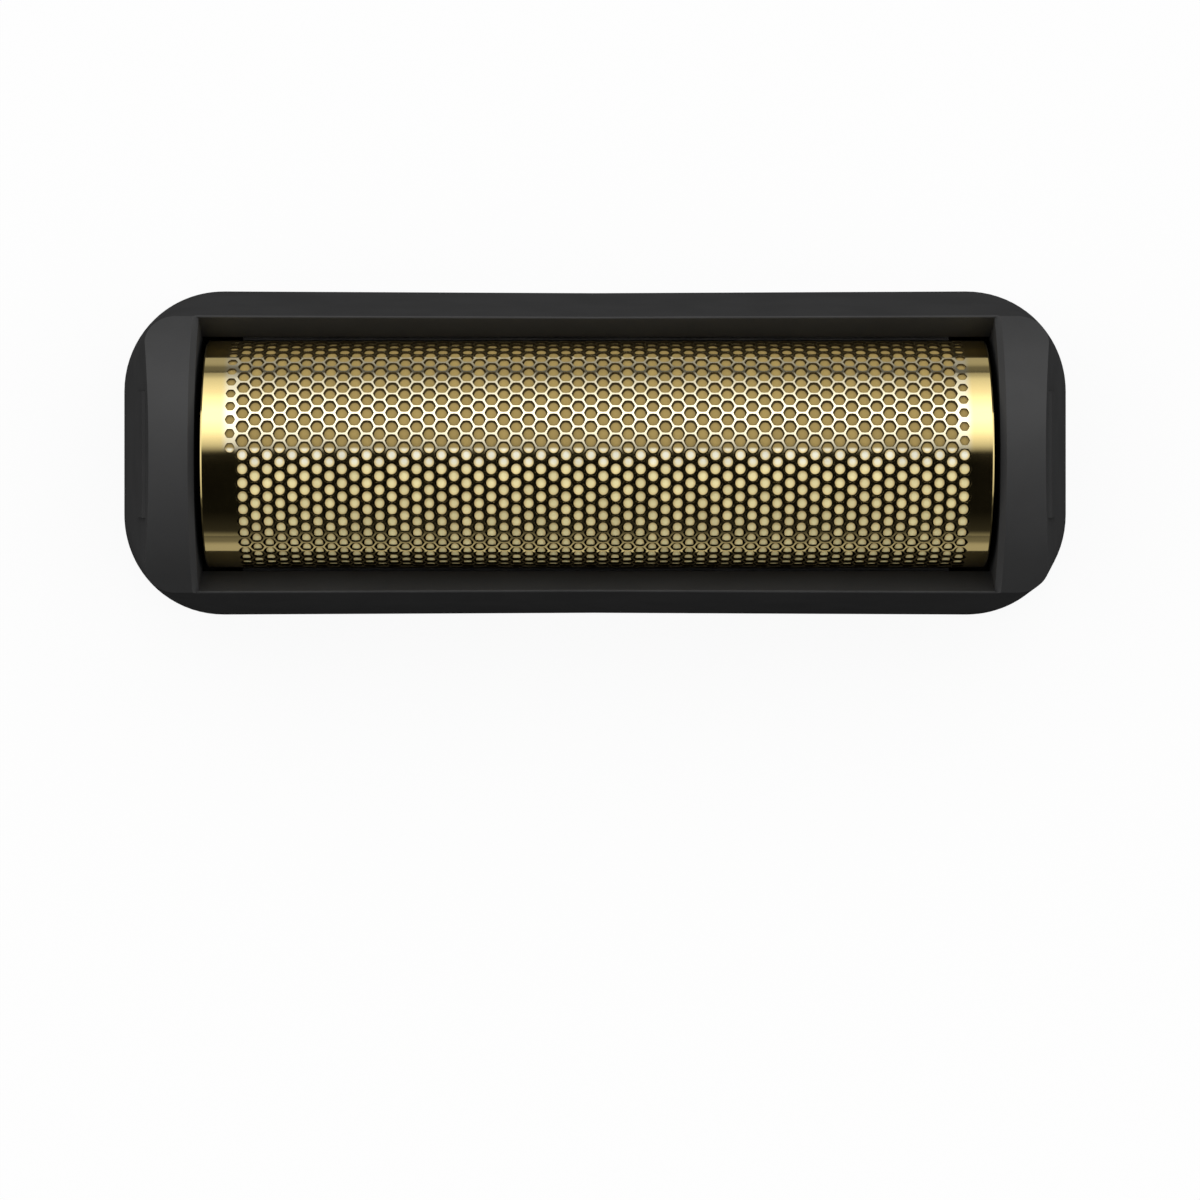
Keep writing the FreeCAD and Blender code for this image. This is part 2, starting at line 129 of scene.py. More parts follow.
# The camera's sensor in millimetres, and the distances between which it sees
SENSOR_WIDTH = 36.0
CLIP_NEAR = 0.01
CLIP_FAR = 20.0

# Places of the Mix node's first value, second value and result, by its kind of data
MIX_SOCKETS = {"RGBA": (6, 7, 2), "VECTOR": (4, 5, 1)}


def length(name, description, default):
    """Property that holds a length in metres."""
    return bpy.props.FloatProperty(name=name, description=description, default=default, unit="LENGTH", precision=6)


def number(name, description, default, low=0.0, high=1.0):
    """Property that holds a plain number between two limits."""
    return bpy.props.FloatProperty(name=name, description=description, default=default, min=low, max=high)


def colour(name, description, default):
    """Property that holds a colour."""
    return bpy.props.FloatVectorProperty(name=name, description=description, default=default, subtype="COLOR", size=3)


class FoilSizes(bpy.types.PropertyGroup):
    """Sizes of the two foils and of the holes in the outer one."""

    arch_centre: length("Arch centre", "Height of the middle of the foils' arch", 8.15 * MM)
    foot: length("Foot", "Height of the lower edges of both foils", 3.6 * MM)
    half_length: length("Half length", "Half the length of both foils", 23.97 * MM)
    outer_radius: length("Outer radius", "Radius of the outer foil's outer face", 7.05 * MM)
    outer_sheet: length("Outer sheet", "Thickness of the outer foil", 0.12 * MM)
    inner_radius: length("Inner radius", "Radius of the inner foil's outer face", 6.90 * MM)
    inner_sheet: length("Inner sheet", "Thickness of the inner foil", 0.10 * MM)
    column_spacing: length("Column spacing", "Distance between columns of holes along the foil", 0.752 * MM)
    hole_across: length("Hole width", "Width of a hole between two flat sides", 0.75 * MM)
    hole_rounding: number("Hole rounding", "How round the holes are, from sharp hexagons to circles", 0.45)
    end_bevel: length("End bevel", "Width of the slant at the outer foil's ends", 0.09 * MM)
    end_drop: length("End drop", "Height of the slant at the outer foil's ends", 0.07 * MM)
    rim_bevel: length("Rim bevel", "Width of the soft edge round each hole", 0.010 * MM)
    hole_arc: bpy.props.FloatProperty(
        name="Hole arc",
        description="Angle from the crown down to the last holes",
        default=math.radians(80.0),
        subtype="ANGLE",
    )
    slot_width: length("Slot width", "Width of the slots in the inner foil", 0.03 * MM)
    stake_spacing: length("Stake spacing", "Distance between the stakes that pass through the foils", 8.0 * MM)
    stake_low: length("Stake hole foot", "Lower edge of the holes for the stakes", 4.45 * MM)
    stake_high: length("Stake hole top", "Upper edge of the holes for the stakes", 5.55 * MM)
    stake_reach: length("Stake reach", "Half the width that the foils leave open round a stake", 1.05 * MM)


class Finishes(bpy.types.PropertyGroup):
    """Colours and surfaces of the head's materials."""

    moulding: colour("Moulding", "Black plastic of the outer frame", (0.038, 0.038, 0.0383))
    carrier: colour("Carrier", "Black plastic of the cassette", (0.030, 0.030, 0.0303))
    gold: colour("Gold", "Bright gold of the outer foil", (1.0, 0.79, 0.34))
    # The webs' paler gold is a painted sheen for the bright light that the rear half mirrors.
    painted_sheen_gold: colour("Painted sheen gold", "Paler gold of the webs between the holes", (1.0, 0.92, 0.67))
    inner_gold: colour("Inner gold", "Satin gold of the inner foil's front half", (1.0, 0.88, 0.47))
    # The crown's pale gold is a painted highlight.
    crown_gold: colour("Crown gold", "Pale gold of the inner foil along the crown", (1.0, 0.97, 0.78))
    # The warm gold is painted shade, darker towards the front discs' edges than their bright middle.
    warm_gold: colour("Warm gold", "Gold round the bright middle of each front disc", (0.95, 0.73, 0.32))
    # The rear half's duller gold is painted shade.
    rear_shaded_gold: colour("Rear gold", "Duller satin gold of the inner foil's rear half", (0.42, 0.305, 0.11))
    # The gold at the hole edges of both foils is painted shade, lighter in the rear half.
    shaded_gold: colour("Shaded gold", "Gold at the edge of each hole in the front half", (0.005, 0.0035, 0.0015))
    rear_shade: colour("Rear shade", "Gold at the edge of each hole in the rear half", (0.095, 0.070, 0.030))
    steel: colour("Steel", "Rolled steel of the clamp strips", (0.24, 0.24, 0.245))
    foil_roughness: number("Foil roughness", "Roughness of the outer foil", 0.08)
    inner_roughness: number("Inner foil roughness", "Roughness of the inner foil", 0.50)
    grain_height: length("Grain height", "Height of the moulded grain", 0.004 * MM)


class Studio(bpy.types.PropertyGroup):
    """Camera, floor and light."""

    camera_height: length("Camera height", "Height of the camera over the floor", 284.66 * MM)
    camera_x: length("Camera x", "Place of the camera along the foil", -2.4 * MM)
    camera_y: length("Camera y", "Place of the camera across the foil", 2.1 * MM)
    focal_length: number("Focal length", "Focal length in millimetres on a 36 mm sensor", 134.0, 1.0, 1000.0)
    picture_x: number("Picture x", "Place of the head's middle across the picture, from the left", 0.495875)
    picture_y: number("Picture y", "Place of the head's middle up the picture, from the bottom", 0.6225)
    floor_half: length("Floor", "Half the width of the floor", 3.0)
    floor_white: number("Floor white", "Share of plain white in the floor as it is seen", 0.92)
    far_floor: number("Far floor", "Brightness of the floor far from the head", 0.6)
    far_mirror: number("Far mirror", "Share of the far floor's brightness that the foil mirrors", 0.12)
    back_light: number("Back light", "Strength of the soft light behind the head", 2.2, 0.0, 20.0)
    fill_light: number("Fill light", "Brightness of the studio all round", 0.28, 0.0, 20.0)
    fill_rear: number("Fill rear", "How much brighter the studio's rear is than its middle", 0.92, 0.0, 20.0)
    fill_side: number("Fill side", "How much brighter the studio's left and right sides are", 0.65, 0.0, 20.0)
    fill_top: number("Fill top", "How much brighter the studio's ceiling is", 1.25, 0.0, 20.0)


def settings(name):
    """Property group of this file by its name on the scene."""
    return getattr(bpy.context.scene, name)


# Sheets laid over the arch


def hole_pitch(sizes):
    """Distance between neighbouring holes of one column, along the flat sheet."""
    return sizes.column_spacing * 2 / math.sqrt(3)


def laid_over_arch(along, across, radius, sheet_radius, centre):
    """Places in space of points of a flat sheet that is wrapped over the arch.

    The angle from the crown is the distance across divided by the sheet's radius, held at a quarter turn.
    What is left of the distance past a quarter turn hangs straight down.
    """
    angle = np.clip(across / sheet_radius, -math.pi / 2, math.pi / 2)
    hang = np.maximum(np.abs(across) - sheet_radius * math.pi / 2, 0.0)
    return np.column_stack([along, radius * np.sin(angle), centre + radius * np.cos(angle) - hang])


def hole_rim(across_flats, rounding):
    """Twelve points round a hole that is centred on the origin, as two arrays.

    The distance from the middle to a point is that of a hexagon's side in its direction, blended with a slightly
    larger circle by the rounding.  The corners lie along X.
    """
    angle = np.arange(RIM_POINTS) * 2 * math.pi / RIM_POINTS
    from_side = (angle % (math.pi / 3)) - math.pi / 6
    hexagon = 1 / np.cos(from_side)
    distance = across_flats / 2 * (hexagon * (1 - rounding) + CIRCLE_SHARE * rounding)
    return distance * np.cos(angle), distance * np.sin(angle)


def grid_lines(sizes, radius):
    """Lines of the flat sheet's grid: along the foil, then across it from one foot to the other.

    Along the foil they are half a column apart, with a few more in the plain end bands.  Across it they are a
    quarter of the hole pitch apart, then follow the tangent line, the edges of the stake holes and the foot.
    """
    step = sizes.column_spacing / 2
    holes = np.arange(-COLUMNS, COLUMNS + 1) * step
    plain_end = np.linspace(holes[-1], sizes.half_length - sizes.end_bevel, BAND_POINTS)[1:]
    band = np.append(plain_end, sizes.half_length)
    along = np.concatenate([-band[::-1], holes, band])
    pitch = hole_pitch(sizes)
    rows = 2 * int(sizes.hole_arc * radius / pitch) + 1
    reach = 2 * rows + 2
    arch = np.arange(-reach, reach + 1) * (pitch / 4)
    tangent = radius * math.pi / 2
    heights = [sizes.arch_centre, sizes.stake_high, sizes.stake_low, sizes.foot]
    flank = np.array([tangent + sizes.arch_centre - height for height in heights])
    plain = np.linspace(arch[-1], tangent, FLANK_POINTS)[1:-1]
    side = np.concatenate([plain, flank])
    across = np.concatenate([-side[::-1], arch, side])
    return along, across, band.size, side.size


def stake_openings(sizes, along, across, tangent):
    """Which squares of the grid the stakes pass through, as a table of yes and no."""
    places = (np.arange(STAKES) - (STAKES - 1) / 2) * sizes.stake_spacing
    low = along[:-1]
    high = along[1:]
    near = np.zeros(low.size, bool)
    for place in places:
        near |= (high > place - sizes.stake_reach) & (low < place + sizes.stake_reach)
    level = sizes.arch_centre + tangent - np.abs((across[1:] + across[:-1]) / 2)
    beside = (level > sizes.stake_low) & (level < sizes.stake_high)
    return near[:, None] & beside[None, :]


def honeycomb_shift(sizes, column_line, row_line):
    """How far each point of the perforated grid moves along the foil, so that the blocks become hexagons.

    A point beside the middle of a hole, on an even line both ways, moves a sixth of the column spacing away from
    the hole, and all others stay.
    """
    shift = sizes.column_spacing / 6
    beside_left_hole = (column_line % 4 == 0) == (row_line % 4 == 0)
    even = (column_line % 2 == 0) & (row_line % 2 == 0)
    reach = (np.abs(column_line) <= COLUMNS) & even
    return np.where(reach, np.where(beside_left_hole, shift, -shift), 0.0)


def square_faces(columns, rows, row_count):
    """Four grid corners of each square given by its column and row, anticlockwise seen from outside."""
    corner = columns * row_count + rows
    return np.column_stack([corner, corner + row_count, corner + row_count + 1, corner + 1])


def boundary(faces):
    """Edges of the faces that only one face has, as pairs of points in that face's direction."""
    start = faces.ravel()
    end = np.roll(faces, -1, axis=1).ravel()
    low = np.minimum(start, end)
    key = low * (faces.max() + 1) + np.maximum(start, end)
    first, count = np.unique(key, return_index=True, return_counts=True)[1:]
    single = first[count == 1]
    return start[single], end[single]


def mesh_object(name, points, faces, material, values=()):
    """Object with a mesh of four-sided faces, smooth but for its sharp edges, and one material.

    The values are pairs of a name and a number for each point, for the material to read.
    """
    used, packed = np.unique(faces, return_inverse=True)
    faces = packed.reshape(faces.shape)
    points = points[used]
    mesh = bpy.data.meshes.new(name)
    mesh.vertices.add(len(points))
    mesh.vertices.foreach_set("co", points.astype(np.float32).ravel())
    mesh.loops.add(faces.size)
    mesh.loops.foreach_set("vertex_index", faces.astype(np.int32).ravel())
    mesh.polygons.add(len(faces))
    mesh.polygons.foreach_set("loop_start", np.arange(len(faces), dtype=np.int32) * 4)
    mesh.update(calc_edges=True)
    mesh.validate()
    for key, numbers in values:
        attribute = mesh.attributes.new(key, "FLOAT", "POINT")
        attribute.data.foreach_set("value", numbers[used].astype(np.float32))
    mesh.shade_smooth()
    mesh.set_sharp_from_angle(angle=SHARP_ANGLE)
    mesh.materials.append(material)
    piece = bpy.data.objects.new(name, mesh)
    bpy.context.scene.collection.objects.link(piece)
    return piece


def hole_table(sizes, radius):
    """Middle of each hole in half columns and quarter pitches, and its share of the full width.

    Columns alternate by half a pitch.  The first column has smaller holes on its rear half and none on its front
    half, and the last has smaller holes on its rear half.  All widths differ a little, by a seeded draw.
    """
    pitch = hole_pitch(sizes)
    limit = sizes.hole_arc * radius
    last = int(limit / pitch)
    column, row = np.meshgrid(np.arange(COLUMNS), np.arange(-last - 1, last + 1), indexing="ij")
    column = column.ravel()
    row = row.ravel()
    column_line = 2 * column + 1 - COLUMNS
    row_line = 4 * row + 2 * ((column + 1) % 2)
    inside = np.abs(row_line * pitch / 4) <= limit
    inside &= ~((column == 0) & (row_line < 0))
    draw = np.random.default_rng(DRAW_SEED)
    share = 1 + draw.normal(0, WIDTH_SPREAD, column.size)
    small = ((column == 0) | (column == COLUMNS - 1)) & (row_line > 0)
    share = np.where(small, SMALL_HOLE * share, share)
    return column_line[inside], row_line[inside], share[inside]


def fine_foil_mesh(sizes, material):
    """Outer foil with all its holes, as one closed sheet.

    Each hole takes a block of two by four squares of the grid.  A ring of twelve faces joins the block's edge to
    the hole's rim, on both faces of the sheet, a bevel runs down from the rim, and a wall joins the two faces.
    Each point has a depth: nought on the outer face, and one on the lips and the inner face.
    """
    radius = sizes.outer_radius
    along, across, band, side = grid_lines(sizes, radius)
    row_count = across.size
    middle_line = band + COLUMNS
    crown_line = (row_count - 1) // 2
    column_line, row_line, share = hole_table(sizes, radius)
    column = column_line + middle_line
    row = row_line + crown_line
    steps = np.array(RING_STEPS)
    edge = (column[:, None] + steps[:, 0]) * row_count + row[:, None] + steps[:, 1]
    open_square = stake_openings(sizes, along, across, radius * math.pi / 2)
    for across_step in (-1, 0):
        for down_step in (-2, -1, 0, 1):
            open_square[column + across_step, row + down_step] = True
    plain = square_faces(*np.nonzero(~open_square), row_count)
    grid_x, grid_v = (table.ravel() for table in np.meshgrid(along, across, indexing="ij"))
    lines = np.meshgrid(np.arange(along.size) - middle_line, np.arange(row_count) - crown_line, indexing="ij")
    shifted = honeycomb_shift(sizes, lines[0].ravel(), lines[1].ravel())
    grid_x = grid_x + np.where(np.abs(grid_v) <= across[crown_line + (row_count // 2 - side)], shifted, 0.0)
    rim_x, rim_v = hole_rim(sizes.hole_across, sizes.hole_rounding)
    out_x, out_v = hole_rim(sizes.hole_across + 2 * sizes.rim_bevel, sizes.hole_rounding)
    centre_x = along[column][:, None]
    centre_v = across[row][:, None]
    rims = []
    for x, v in ((out_x, out_v), (rim_x, rim_v)):
        rims.append(((centre_x + x * share[:, None]).ravel(), (centre_v + v * share[:, None]).ravel()))
    base = grid_x.size
    rim = base + np.arange(share.size * RIM_POINTS).reshape(-1, RIM_POINTS)
    ring = np.stack([edge, np.roll(edge, -1, 1), np.roll(rim, -1, 1), rim], axis=-1).reshape(-1, 4)
    sheet = np.concatenate([plain, ring])
    count = base + rim.size
    outer_x = np.append(grid_x, rims[0][0])
    at_end = np.abs(outer_x) > sizes.half_length - sizes.end_bevel / 2
    outer_radius = radius - np.where(at_end, sizes.end_drop, 0.0)
    outer = laid_over_arch(outer_x, np.append(grid_v, rims[0][1]), outer_radius, radius, sizes.arch_centre)
    inner_x = np.append(grid_x, rims[1][0])
    inner_v = np.append(grid_v, rims[1][1])
    inner = laid_over_arch(inner_x, inner_v, radius - sizes.outer_sheet, radius, sizes.arch_centre)
    lip = laid_over_arch(*rims[1], radius - sizes.rim_bevel, radius, sizes.arch_centre)
    start, end = boundary(sheet)
    at_rim = start >= base
    walls = [np.column_stack([end, start, start + count, end + count])[~at_rim]]
    top = np.column_stack([start, end])[at_rim]
    middle = top - base + 2 * count
    bottom = top + count
    walls.append(np.column_stack([top[:, 1], top[:, 0], middle[:, 0], middle[:, 1]]))
    walls.append(np.column_stack([middle[:, 1], middle[:, 0], bottom[:, 0], bottom[:, 1]]))
    faces = np.concatenate([sheet, sheet[:, ::-1] + count, *walls])
    depth = np.append(np.zeros(len(outer)), np.ones(len(inner) + len(lip)))
    points = np.concatenate([outer, inner, lip])
    return mesh_object("fine_foil", points, faces, material, [("depth", depth)])


def fine_inner_foil_mesh(sizes, material):
    """Inner foil: the same grid on its own radius, with rows of narrow slots left open over the arch."""
    radius = sizes.inner_radius
    along, across, band = grid_lines(sizes, radius)[:3]
    slot_lines = (np.arange(SLOT_ROWS) - SLOT_ROWS // 2) * SLOT_STEP + band + COLUMNS
    half = sizes.slot_width / 2
    extra = np.concatenate([along[slot_lines] - half, along[slot_lines] + half])
    along = np.sort(np.concatenate([np.delete(along, slot_lines), extra]))
    row_count = across.size
    open_square = stake_openings(sizes, along, across, radius * math.pi / 2)
    middle = (across[1:] + across[:-1]) / 2
    reach = SLOT_ARC * radius
    part = (middle + reach) / (2 * reach / SLOTS_IN_ROW) % 1
    in_slot = (np.abs(middle) < reach) & (np.abs(part - 0.5) < SLOT_HALF_SHARE)
    narrow = np.diff(along) < 1.5 * sizes.slot_width
    open_square |= narrow[:, None] & in_slot[None, :]
    plain = square_faces(*np.nonzero(~open_square), row_count)
    grid_x, grid_v = (table.ravel() for table in np.meshgrid(along, across, indexing="ij"))
    count = grid_x.size
    outer = laid_over_arch(grid_x, grid_v, radius, radius, sizes.arch_centre)
    inner = laid_over_arch(grid_x, grid_v, radius - sizes.inner_sheet, radius, sizes.arch_centre)
    start, end = boundary(plain)
    walls = np.column_stack([end, start, start + count, end + count])
    faces = np.concatenate([plain, plain[:, ::-1] + count, walls])
    return mesh_object("fine_inner_foil", np.concatenate([outer, inner]), faces, material)


# Shader maths


class Socket:
    """Output of a shader node.  Arithmetic on it adds Math nodes and gives another output."""

    def __init__(self, tree, socket=None):
        self.tree = tree
        self.socket = socket

    def node(self, kind, options, inputs, output=0):
        """Output of a new node, after its options and then the values or links of its sockets are set."""
        made = self.tree.nodes.new(kind)
        for key, value in options.items():
            if key == "stops":
                ramp = made.color_ramp
                while len(ramp.elements) < len(value):
                    ramp.elements.new(0.5)
                for element, (position, shade) in zip(ramp.elements, value):
                    element.position = position
                    element.color = shade
            else:
                setattr(made, key, value)
        for key, value in inputs.items():
            if isinstance(value, Socket):
                self.tree.links.new(value.socket, made.inputs[key])
            else:
                made.inputs[key].default_value = value
        return Socket(self.tree, made.outputs[output])

    def math(self, operation, *values):
        """Math node on values or outputs."""
        return self.node("ShaderNodeMath", {"operation": operation}, dict(enumerate(values)))

    def __add__(self, other):
        return self.math("ADD", self, other)

    def __radd__(self, other):
        return self.math("ADD", other, self)

    def __sub__(self, other):
        return self.math("SUBTRACT", self, other)

    def __rsub__(self, other):
        return self.math("SUBTRACT", other, self)

    def __mul__(self, other):
        return self.math("MULTIPLY", self, other)

    def __rmul__(self, other):
        return self.math("MULTIPLY", other, self)

    def __truediv__(self, other):
        return self.math("DIVIDE", self, other)

    def size(self):
        """Size of the value without its sign."""
        return self.math("ABSOLUTE", self)

    def between(self, low, high):
        """Share from nought to one of the way from low to high, eased at both ends."""
        options = {"interpolation_type": "SMOOTHSTEP"}
        return self.node("ShaderNodeMapRange", options, {"Value": self, "From Min": low, "From Max": high})

    def parts(self):
        """The three parts of a vector."""
        split = self.node("ShaderNodeSeparateXYZ", {}, {"Vector": self}).socket.node
        return [Socket(self.tree, output) for output in split.outputs]

    def blend(self, first, second, kind="RGBA"):
        """Colour, or value of another kind, blended from the first to the second by this share."""
        first_place, second_place, result = MIX_SOCKETS[kind]
        inputs = {0: self, first_place: first, second_place: second}
        return self.node("ShaderNodeMix", {"data_type": kind}, inputs, result)


def opaque(base):
    """Colour with nothing showing through it."""
    return (*base, 1.0)


def finish(name, base, metallic, roughness, specular=0.5):
    """New material with a plain Principled shader, and the wrapper that its patterns start from."""
    material = bpy.data.materials.new(name)
    material.use_nodes = True
    shader = material.node_tree.nodes["Principled BSDF"]
    shader.inputs["Base Color"].default_value = opaque(base)
    shader.inputs["Metallic"].default_value = metallic
    shader.inputs["Roughness"].default_value = roughness
    shader.inputs["Specular IOR Level"].default_value = specular
    material.diffuse_color = opaque(base)
    return material, shader, Socket(material.node_tree)


def plug(shader, name, value):
    """Link an output to a socket of the shader."""
    value.tree.links.new(value.socket, shader.inputs[name])


def object_place(start):
    """Place on the object, in metres."""
    return start.node("ShaderNodeTexCoord", {}, {}, "Object")


def noise(place, scale, detail=2.0, roughness=0.5):
    """Noise of about nought to one, with so many features a metre."""
    inputs = {"Vector": place, "Scale": scale, "Detail": detail, "Roughness": roughness}
    return place.node("ShaderNodeTexNoise", {}, inputs)


def bump(height, distance, strength=1.0, normal=None):
    """Normal that is bent by a height from nought to one, which stands for the distance."""
    inputs = {"Height": height, "Distance": distance, "Strength": strength}
    if normal is not None:
        inputs["Normal"] = normal
    return height.node("ShaderNodeBump", {}, inputs)


def shades(base, *shares):
    """Shades of one colour, each with its share of the colour's brightness."""
    return [opaque([part * share for part in base]) for share in shares]


def plastic(name, base, grain, coat):
    """Black moulded plastic with a fine spark-eroded grain, smoother where it faces up than on its steep walls."""
    material, shader, start = finish(name, base, metallic=0.0, roughness=0.6, specular=0.0)
    place = object_place(start)
    fine = noise(place, scale=9000.0, detail=3.0, roughness=0.6)
    broad = noise(place, scale=260.0, detail=3.0)
    dark, bright = shades(base, 0.95, 1.05)
    plug(shader, "Base Color", broad.between(0.3, 0.7).blend(dark, bright))
    facing = start.node("ShaderNodeNewGeometry", {}, {}, "Normal")
    up = facing.parts()[2]
    polished = up.between(0.22, 0.5) * (0.85 + 0.15 * broad) * coat
    plug(shader, "Coat Weight", polished)
    shader.inputs["Coat Roughness"].default_value = 0.42
    plug(shader, "Roughness", 0.55 + 0.10 * broad + 0.06 * fine)
    plug(shader, "Normal", bump(fine, grain, strength=0.8))
    return material


def bright_gold(finishes):
    """Mirror-bright gold foil with a faint waviness and fine polishing lines over the arch.

    The webs of its rear half are paler, a painted sheen.  The lips and walls of the holes are dark with painted
    shade, and not metallic.
    """
    roughness = finishes.foil_roughness
    material, shader, start = finish("gold_foil", finishes.gold, metallic=1.0, roughness=roughness, specular=0.0)
    place = object_place(start)
    lines = place.node("ShaderNodeMapping", {}, {"Vector": place, "Scale": (1.0, 0.12, 0.12)})
    polish = noise(lines, scale=14000.0, detail=2.0)
    waves = noise(place, scale=320.0, detail=1.0)
    broad = noise(place, scale=700.0, detail=3.0)
    depth = start.node("ShaderNodeAttribute", {"attribute_name": "depth"}, {}, "Fac")
    along, rearwards = place.parts()[:2]
    webs = 1.0 - along.size().between(*END_BAND)
    # In the rear half, fading at the flank: a painted sheen on the webs and a lighter painted shade on the hole
    # walls.
    lit = rearwards.between(*WEB_SEAM) * (1.0 - 0.8 * rearwards.between(*REAR_FLANK))
    painted_sheen = webs * lit * (0.75 + 0.25 * broad)
    face = painted_sheen.blend(opaque(finishes.gold), opaque(finishes.painted_sheen_gold))
    # The lips and walls of the holes are painted dark as shade.
    inside = depth.between(0.0, 0.2)
    shade = lit.blend(opaque(finishes.shaded_gold), opaque(finishes.rear_shade))
    plug(shader, "Base Color", inside.blend(face, shade))
    plug(shader, "Metallic", 1.0 - inside)
    plug(shader, "Roughness", roughness - 0.03 + 0.06 * broad)
    soft = bump(waves, 0.03 * MM, strength=0.2)
    plug(shader, "Normal", bump(polish, 0.0012 * MM, strength=0.3, normal=soft))
    return material


def hole_pattern(start, sizes):
    """Where a point of the inner foil lies under the holes of the outer one.

    Gives the distance from the nearest hole's middle as seen from above, how far to the rear of it the point
    lies, a random value for that hole, the distance across the foil from the crown, and how steep the sheet is.
    The holes form two lattices, one shifted by half a step both ways.
    """
    along, rearwards, up = object_place(start).parts()
    pitch = hole_pitch(sizes)
    across = start.math("ARCTAN2", rearwards, up - sizes.arch_centre) * sizes.outer_radius
    column = along / sizes.column_spacing + (COLUMNS - 1) / 2
    row = across / pitch
    rear = across.between(*SEAM)
    over = start.math("MAXIMUM", up - sizes.arch_centre, LEAST_RISE)
    slope = start.math("MINIMUM", rearwards.size() / over, STEEP[1])
    # In the rear half each disc moves to the front, which widens its painted shadow on the rear side.
    rear_lean = rearwards * (REAR_LEAN / sizes.outer_radius) + REAR_SHIFT
    lean = rear * rear_lean + (1.0 - rear) * slope * slope * FRONT_LEAN
    level = start.math("MAXIMUM", over / sizes.inner_radius, LEAST_LEVEL) * LEVEL_SHARE
    squares = []
    rises = []
    ids = []
    for column_offset, row_offset in ((1.0, 0.0), (0.0, 0.5)):
        nearest_column = start.math("ROUND", (column - column_offset) * 0.5)
        nearest_row = start.math("ROUND", row - row_offset)
        x = (column - column_offset - nearest_column * 2.0) * sizes.column_spacing
        y = ((row - row_offset - nearest_row) * pitch + lean) * level
        squares.append(x * x + y * y)
        rises.append(y)
        parts = {"X": nearest_column, "Y": nearest_row, "Z": row_offset}
        ids.append(start.node("ShaderNodeCombineXYZ", {}, parts))
    first_nearer = start.math("LESS_THAN", *squares)
    nearest = start.math("SQRT", start.math("MINIMUM", *squares))
    distance = nearest / (1.0 - (1.0 - rear) * (1.0 - level) * FRONT_WIDENING)
    chosen = first_nearer.blend(ids[1], ids[0], "VECTOR")
    draw = start.node("ShaderNodeTexWhiteNoise", {"noise_dimensions": "3D"}, {"Vector": chosen}, "Value")
    rise = first_nearer * rises[0] + (1.0 - first_nearer) * rises[1]
    return distance, rise, draw, across, slope


def satin_gold(finishes, sizes):
    """Satin gold of the inner foil, with a slightly domed disc under each hole whose edge is dark with painted
    shadow.

    Outside the discs it is dark with painted shadow.  The discs are paler along the crown as a painted highlight,
    darker and warmer towards their edges in the front half as painted shade, and duller in the rear half as painted
    shade.  In the front half they also tilt, more so where the sheet is steep.  All of it is placed for a view from
    above.
    """
    base = finishes.inner_gold
    roughness = finishes.inner_roughness
    material, shader, start = finish("gold_inner_foil", base, metallic=0.05, roughness=roughness, specular=0.0)
    distance, rise, draw, across, slope = hole_pattern(start, sizes)
    rub = noise(object_place(start), scale=5200.0, detail=3.0)
    # Each disc's dark edge, and the whole foil outside the discs, is painted shadow of the outer foil.
    edge = distance.between(*DISC_EDGE)
    rear = across.between(*SEAM)
    # The paler gold along the crown is a painted highlight.
    crown_highlight = across.size().between(*CROWN_HIGHLIGHT).blend(opaque(finishes.crown_gold), opaque(base))
    # Darker, warmer gold towards each front disc's edge is painted shade.
    front = distance.between(*DISC_MIDDLE).blend(crown_highlight, opaque(finishes.warm_gold))
    # The rear half's duller gold is painted shade.
    face = rear.blend(front, opaque(finishes.rear_shaded_gold))
    level = (0.82 + 0.18 * draw) * (0.94 + 0.12 * rub) * (1.0 - edge)
    # The rear half's painted shade is lighter, and turns darker on its steep flank.
    lit = rear * (1.0 - 0.7 * slope.between(*STEEP))
    shade = lit.blend(opaque(finishes.shaded_gold), opaque(finishes.rear_shade))
    plug(shader, "Base Color", level.blend(shade, face))
    plug(shader, "Roughness", roughness - 0.05 + 0.10 * draw)
    flat_dome = 1.0 - distance * distance / DISC_RADIUS ** 2
    dome = flat_dome - (FRONT_TILT + FRONT_TILT_BY_SLOPE * slope) * (1.0 - rear) * rise / DISC_RADIUS
    soft = bump(dome, 0.05 * MM)
    plug(shader, "Normal", bump(rub, 0.008 * MM, strength=0.5, normal=soft))
    return material


def rolled_steel(finishes):
    """Rolled steel sheet, with fine rolling lines along the strip."""
    material, shader, start = finish("steel_strip", finishes.steel, metallic=1.0, roughness=0.32)
    place = object_place(start)
    rolled = place.node("ShaderNodeMapping", {}, {"Vector": place, "Scale": (0.03, 1.0, 1.0)})
    lines = noise(rolled, scale=9000.0, detail=3.0)
    dark, bright = shades(finishes.steel, 0.86, 1.06)
    plug(shader, "Base Color", lines.between(0.3, 0.7).blend(dark, bright))
    plug(shader, "Roughness", 0.14 + 0.08 * lines)
    plug(shader, "Normal", bump(lines, 0.002 * MM, strength=0.5))
    return material


def dress(name, material):
    """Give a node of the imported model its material."""
    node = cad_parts[name]
    if not node.material_slots:
        raise RuntimeError(f"{name} has no material slot")
    for slot in node.material_slots:
        slot.material = material


# Studio


